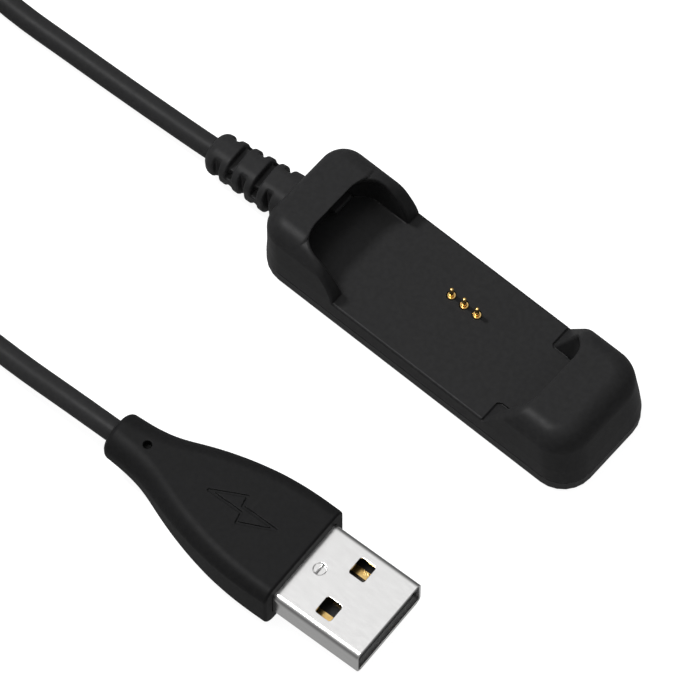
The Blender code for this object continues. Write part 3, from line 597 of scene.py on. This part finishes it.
def relief_field(x, y, z):
    """Slotted strain relief with its neck and flange inside the cradle."""
    dx, dy, dz = x - RELIEF_START.x, y - RELIEF_START.y, z - RELIEF_START.z
    along, across, up = [dx * v.x + dy * v.y + dz * v.z for v in relief_axes()]
    length = (RELIEF_END - RELIEF_START).length
    half = RELIEF_HALF[0] + (RELIEF_HALF[1] - RELIEF_HALF[0]) * np.clip(along / length, 0, 1)
    solid = rounded_box(across, up, half, half, RELIEF_CORNER)
    solid = both(both(solid, -along - RELIEF_OVERLAP, RELIEF_EDGES[0]), along - length,
                 RELIEF_EDGES[1])
    for number, middle in enumerate(SLOT_MIDDLES):
        slot = np.abs(along - middle) - SLOT_HALF_WIDTH
        if number % 2:
            sides = np.maximum(RELIEF_CORE - np.abs(across), SLOT_BRIDGE - np.abs(up))
            slot = both(slot, np.minimum(RELIEF_CORE - np.abs(up), sides), SLOT_EDGES[0])
        else:
            slot = both(slot, RELIEF_CORE - np.abs(across), SLOT_EDGES[0])
        solid = both(solid, -slot, SLOT_EDGES[1])
    radius, outer_end, inner_end = RELIEF_NECK
    neck = np.maximum(np.hypot(y, z - CORD_EXIT_Z) - radius,
                      np.maximum(outer_end - x, x - inner_end))
    flange = block(x, y, z, *RELIEF_FLANGE)
    return np.minimum(np.minimum(solid, neck), flange)


# ---------------------------------------------------------------- plug

def smooth_table(table, spread=0.9, samples=281):
    """A table's values at an even spacing, blurred along its length."""
    at = np.linspace(table[0, 0], table[-1, 0], samples)
    step = at[1] - at[0]
    reach = ceil(3 * spread / step)
    kernel = np.exp(-0.5 * (np.arange(-reach, reach + 1) * step / spread) ** 2)
    kernel /= kernel.sum()
    columns = [at]
    for column in range(1, table.shape[1]):
        values = np.interp(at, table[:, 0], table[:, column])
        padded = np.pad(values, reach, mode="reflect", reflect_type="odd")
        columns.append(np.convolve(padded, kernel, mode="valid"))
    return np.stack(columns, axis=1)


PLUG_PROFILE = smooth_table(PLUG_BODY)


def outline_distance(x, y, outline):
    """Distance to the line around a polygon."""
    best = np.inf
    for (ax, ay), (bx, by) in zip(outline, outline[1:] + outline[:1]):
        dx, dy = bx - ax, by - ay
        share = np.clip(((x - ax) * dx + (y - ay) * dy) / (dx * dx + dy * dy), 0, 1)
        best = np.minimum(best, np.hypot(x - ax - share * dx, y - ay - share * dy))
    return best


def grip_field(x, y, z):
    """Moulded plug body with its engraved mark, round hole and inner rooms."""
    half_width = np.interp(-x, PLUG_PROFILE[:, 0], PLUG_PROFILE[:, 1])
    half_height = np.interp(-x, PLUG_PROFILE[:, 0], PLUG_PROFILE[:, 2])
    share = np.clip(-x / PLUG_CORNER_RUN, 0, 1)
    corner = PLUG_CORNERS[0] + (PLUG_CORNERS[1] - PLUG_CORNERS[0]) * share
    corner = np.minimum(corner, PLUG_CORNER_LIMIT * np.minimum(half_width, half_height))
    solid = rounded_box(y, z, half_width, half_height, corner)
    solid = both(both(solid, x, PLUG_EDGES[0]), PLUG_BACK_X - x, PLUG_EDGES[1])
    groove = both(outline_distance(x, y, MARK_OUTLINE) - MARK_HALF_WIDTH,
                  half_height - MARK_DEPTH - z, MARK_EDGES[0])
    solid = both(solid, -groove, MARK_EDGES[1])
    hole = np.maximum(np.hypot(x - HOLE_X, y) - HOLE_RADIUS, HOLE_FLOOR_Z - z)
    solid = both(solid, -hole, HOLE_EDGE)
    front = np.maximum(rounded_box(y, z, *SHELL_ROOM[:3]), SHELL_ROOM[3] - x)
    rear = block(x, y, z, *WIRE_ROOM)
    return np.maximum(solid, -np.minimum(front, rear))


def shell_field(x, y, z):
    """Folded metal shell with two windows in each wide side and a pressed dimple."""
    outer = rounded_box(y, z, SHELL_HALF_WIDTH, SHELL_HALF_HEIGHT, SHELL_CORNER)
    inner = rounded_box(y, z, SHELL_HALF_WIDTH - SHELL_WALL, SHELL_HALF_HEIGHT - SHELL_WALL,
                        SHELL_CORNER - SHELL_WALL)
    middle = (SHELL_X[0] + SHELL_X[1]) / 2
    ends = np.abs(x - middle) - (SHELL_X[1] - SHELL_X[0]) / 2
    sheet = both(both(outer, ends, SHELL_EDGE), -inner, SHELL_EDGE)
    place_x, place_y, half_x, half_y, corner = WINDOW
    window = rounded_box(x - place_x, np.abs(y) - place_y, half_x, half_y, corner)
    sheet = both(sheet, -window, WINDOW_EDGE)
    dimple_x, dimple_y, radius, depth = DIMPLE
    round_edge = np.hypot(x - dimple_x, y - dimple_y) - radius
    bar = np.maximum(DIMPLE_BAR - np.abs(x - dimple_x), 0)
    pressed = both(round_edge, SHELL_HALF_HEIGHT - depth + bar - z, DIMPLE_EDGES[0])
    sheet = both(sheet, -pressed, DIMPLE_EDGES[1])
    start, pitch, tab, steepness, half_width, depth = SEAM
    wave = np.abs((x - start) % pitch - pitch / 2) * steepness - steepness
    line = tab * np.clip(wave, -1, 1)
    seam = np.maximum(np.abs(y - line) - half_width, z + SHELL_HALF_HEIGHT - depth)
    return np.maximum(sheet, -seam)


# ---------------------------------------------------------------- cord

def smooth_points(route, spacing):
    """Points at an even spacing on a Catmull-Rom curve through the route."""
    route = [Vector(p) for p in route]
    padded = [2 * route[0] - route[1], *route, 2 * route[-1] - route[-2]]
    fine = []
    for a, b, c, d in zip(padded, padded[1:], padded[2:], padded[3:]):
        for step in range(CURVE_STEPS):
            t = step / CURVE_STEPS
            fine.append(0.5 * (2 * b + (c - a) * t + (2 * a - 5 * b + 4 * c - d) * t ** 2
                               + (3 * b - a - 3 * c + d) * t ** 3))
    fine.append(route[-1])
    steps = [(q - p).length for p, q in zip(fine, fine[1:])]
    count = max(2, round(sum(steps) / spacing))
    chosen = [fine[0]]
    walked = 0.0
    for length, point in zip(steps, fine[1:]):
        walked += length
        if walked >= sum(steps) * len(chosen) / count - 1e-9:
            chosen.append(point)
    return chosen


def coil_points():
    """Turns of the coil: each row winds inwards or outwards, one diameter above the last."""
    points = []
    turns = COIL_ROWS * COIL_TURNS_PER_ROW
    steps = round(turns * COIL_POINTS_PER_TURN)
    for step in range(steps + 1):
        turn = turns * step / steps
        row = min(int(turn / COIL_TURNS_PER_ROW), COIL_ROWS - 1)
        share = turn / COIL_TURNS_PER_ROW - row
        across = share if row % 2 == 0 else 1 - share
        radius = COIL_RADII[0] + (COIL_RADII[1] - COIL_RADII[0]) * across
        climb = 0.0
        if row < COIL_ROWS - 1:
            climb = np.clip((share - COIL_CLIMB_FROM) / (1 - COIL_CLIMB_FROM), 0, 1)
        level = row + climb * climb * (3 - 2 * climb)
        angle = pi / 2 + 2 * pi * turn
        x, y = radius * cos(angle), radius * sin(angle)
        middle = sum(COIL_RADII) / 2
        z = COIL_LOWEST_Z + CORD_DIAMETER * level - (x + middle) * tan(COIL_TILT)
        points.append(Vector((COIL_CENTRE[0] + x, COIL_CENTRE[1] + y, z)))
    return points


def make_cord(look):
    """The whole cord on one line: out of the cradle, round the coil and to the plug."""
    line = (smooth_points(CRADLE_ROUTE, CORD_STEP) + coil_points()
            + smooth_points(PLUG_ROUTE, CORD_STEP))
    curve = bpy.data.curves.new("charging_cord", "CURVE")
    curve.dimensions = "3D"
    curve.bevel_depth = CORD_DIAMETER / 2 * MM
    curve.bevel_resolution = 8
    curve.use_fill_caps = True
    spline = curve.splines.new("POLY")
    spline.points.add(len(line) - 1)
    for target, point in zip(spline.points, line):
        target.co = (*(point * MM), 1.0)
    spline.use_smooth = True
    curve.materials.append(look)
    made = bpy.data.objects.new("charging_cord", curve)
    bpy.context.collection.objects.link(made)
    return made


# ---------------------------------------------------------------- assembly

def attach(piece, slot, *nodes):
    """The piece stands for CAD nodes, which it hides, and joins the cradle's body; the slot is not
    used.
    """
    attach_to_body(piece, "cradle")
    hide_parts(*nodes)


def make_springs(look):
    """Contact springs: copies of the CAD springs' meshes in the spring steel material."""
    for number, (pin_x, pin_y) in enumerate(PIN_PLACES, 1):
        node = frame["nodes"][f"pin_spring_{number}"]
        spring = bpy.data.objects.new(f"contact_spring_{number}", node.data.copy())
        bpy.context.collection.objects.link(spring)
        spring.data.materials.clear()
        spring.data.materials.append(look)
        attach(spring, "spring_steel", node.name)
        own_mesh(spring)


def dress_nodes(looks):
    """Give every CAD node the detailed material of its slot."""
    for entry in frame["record"]["subparts"]:
        node = frame["nodes"][entry["node"]]
        node.data.materials.clear()
        node.data.materials.append(looks[entry["material_slot"]])


def main():
    """Camera and cord first, then the stage, materials and pieces."""
    make_camera()
    looks = make_looks()
    cord = make_cord(looks["jacket_black"])
    attach(cord, "jacket_black", "cord_cradle_side", "cord_coil", "cord_plug_side")
    make_stage()
    dress_nodes(looks)

    housing = field_piece("cradle_shell", housing_field, low=(-24.9, -8.5, 1.9),
                          high=(24.9, 8.5, 10.5), cell=0.15, keep=0.35,
                          look=looks["housing_black"])
    attach(housing, "housing_black", "cradle_housing")
    relief = field_piece("relief_sleeve", relief_field, low=(-37.3, -4.2, -0.3),
                         high=(-20.3, 3.5, 6.6), cell=0.1, keep=0.4, look=looks["jacket_black"])
    attach(relief, "jacket_black", "cradle_strain_relief")
    grip = field_piece("plug_grip", grip_field, low=(-28.4, -7.8, -4.4), high=(0.4, 7.8, 4.4),
                       cell=0.1, keep=0.35, look=looks["grip_black"], place=PLUG_PLACE)
    attach(grip, "grip_black", "plug_overmould")
    sleeve = field_piece("plug_sleeve", shell_field, low=(-6.8, -6.3, -2.6), high=(12.8, 6.3, 2.6),
                         cell=0.08, keep=0.25, look=looks["shell_nickel"], place=PLUG_PLACE)
    attach(sleeve, "shell_nickel", "plug_shell")
    make_springs(looks["spring_steel"])


main()
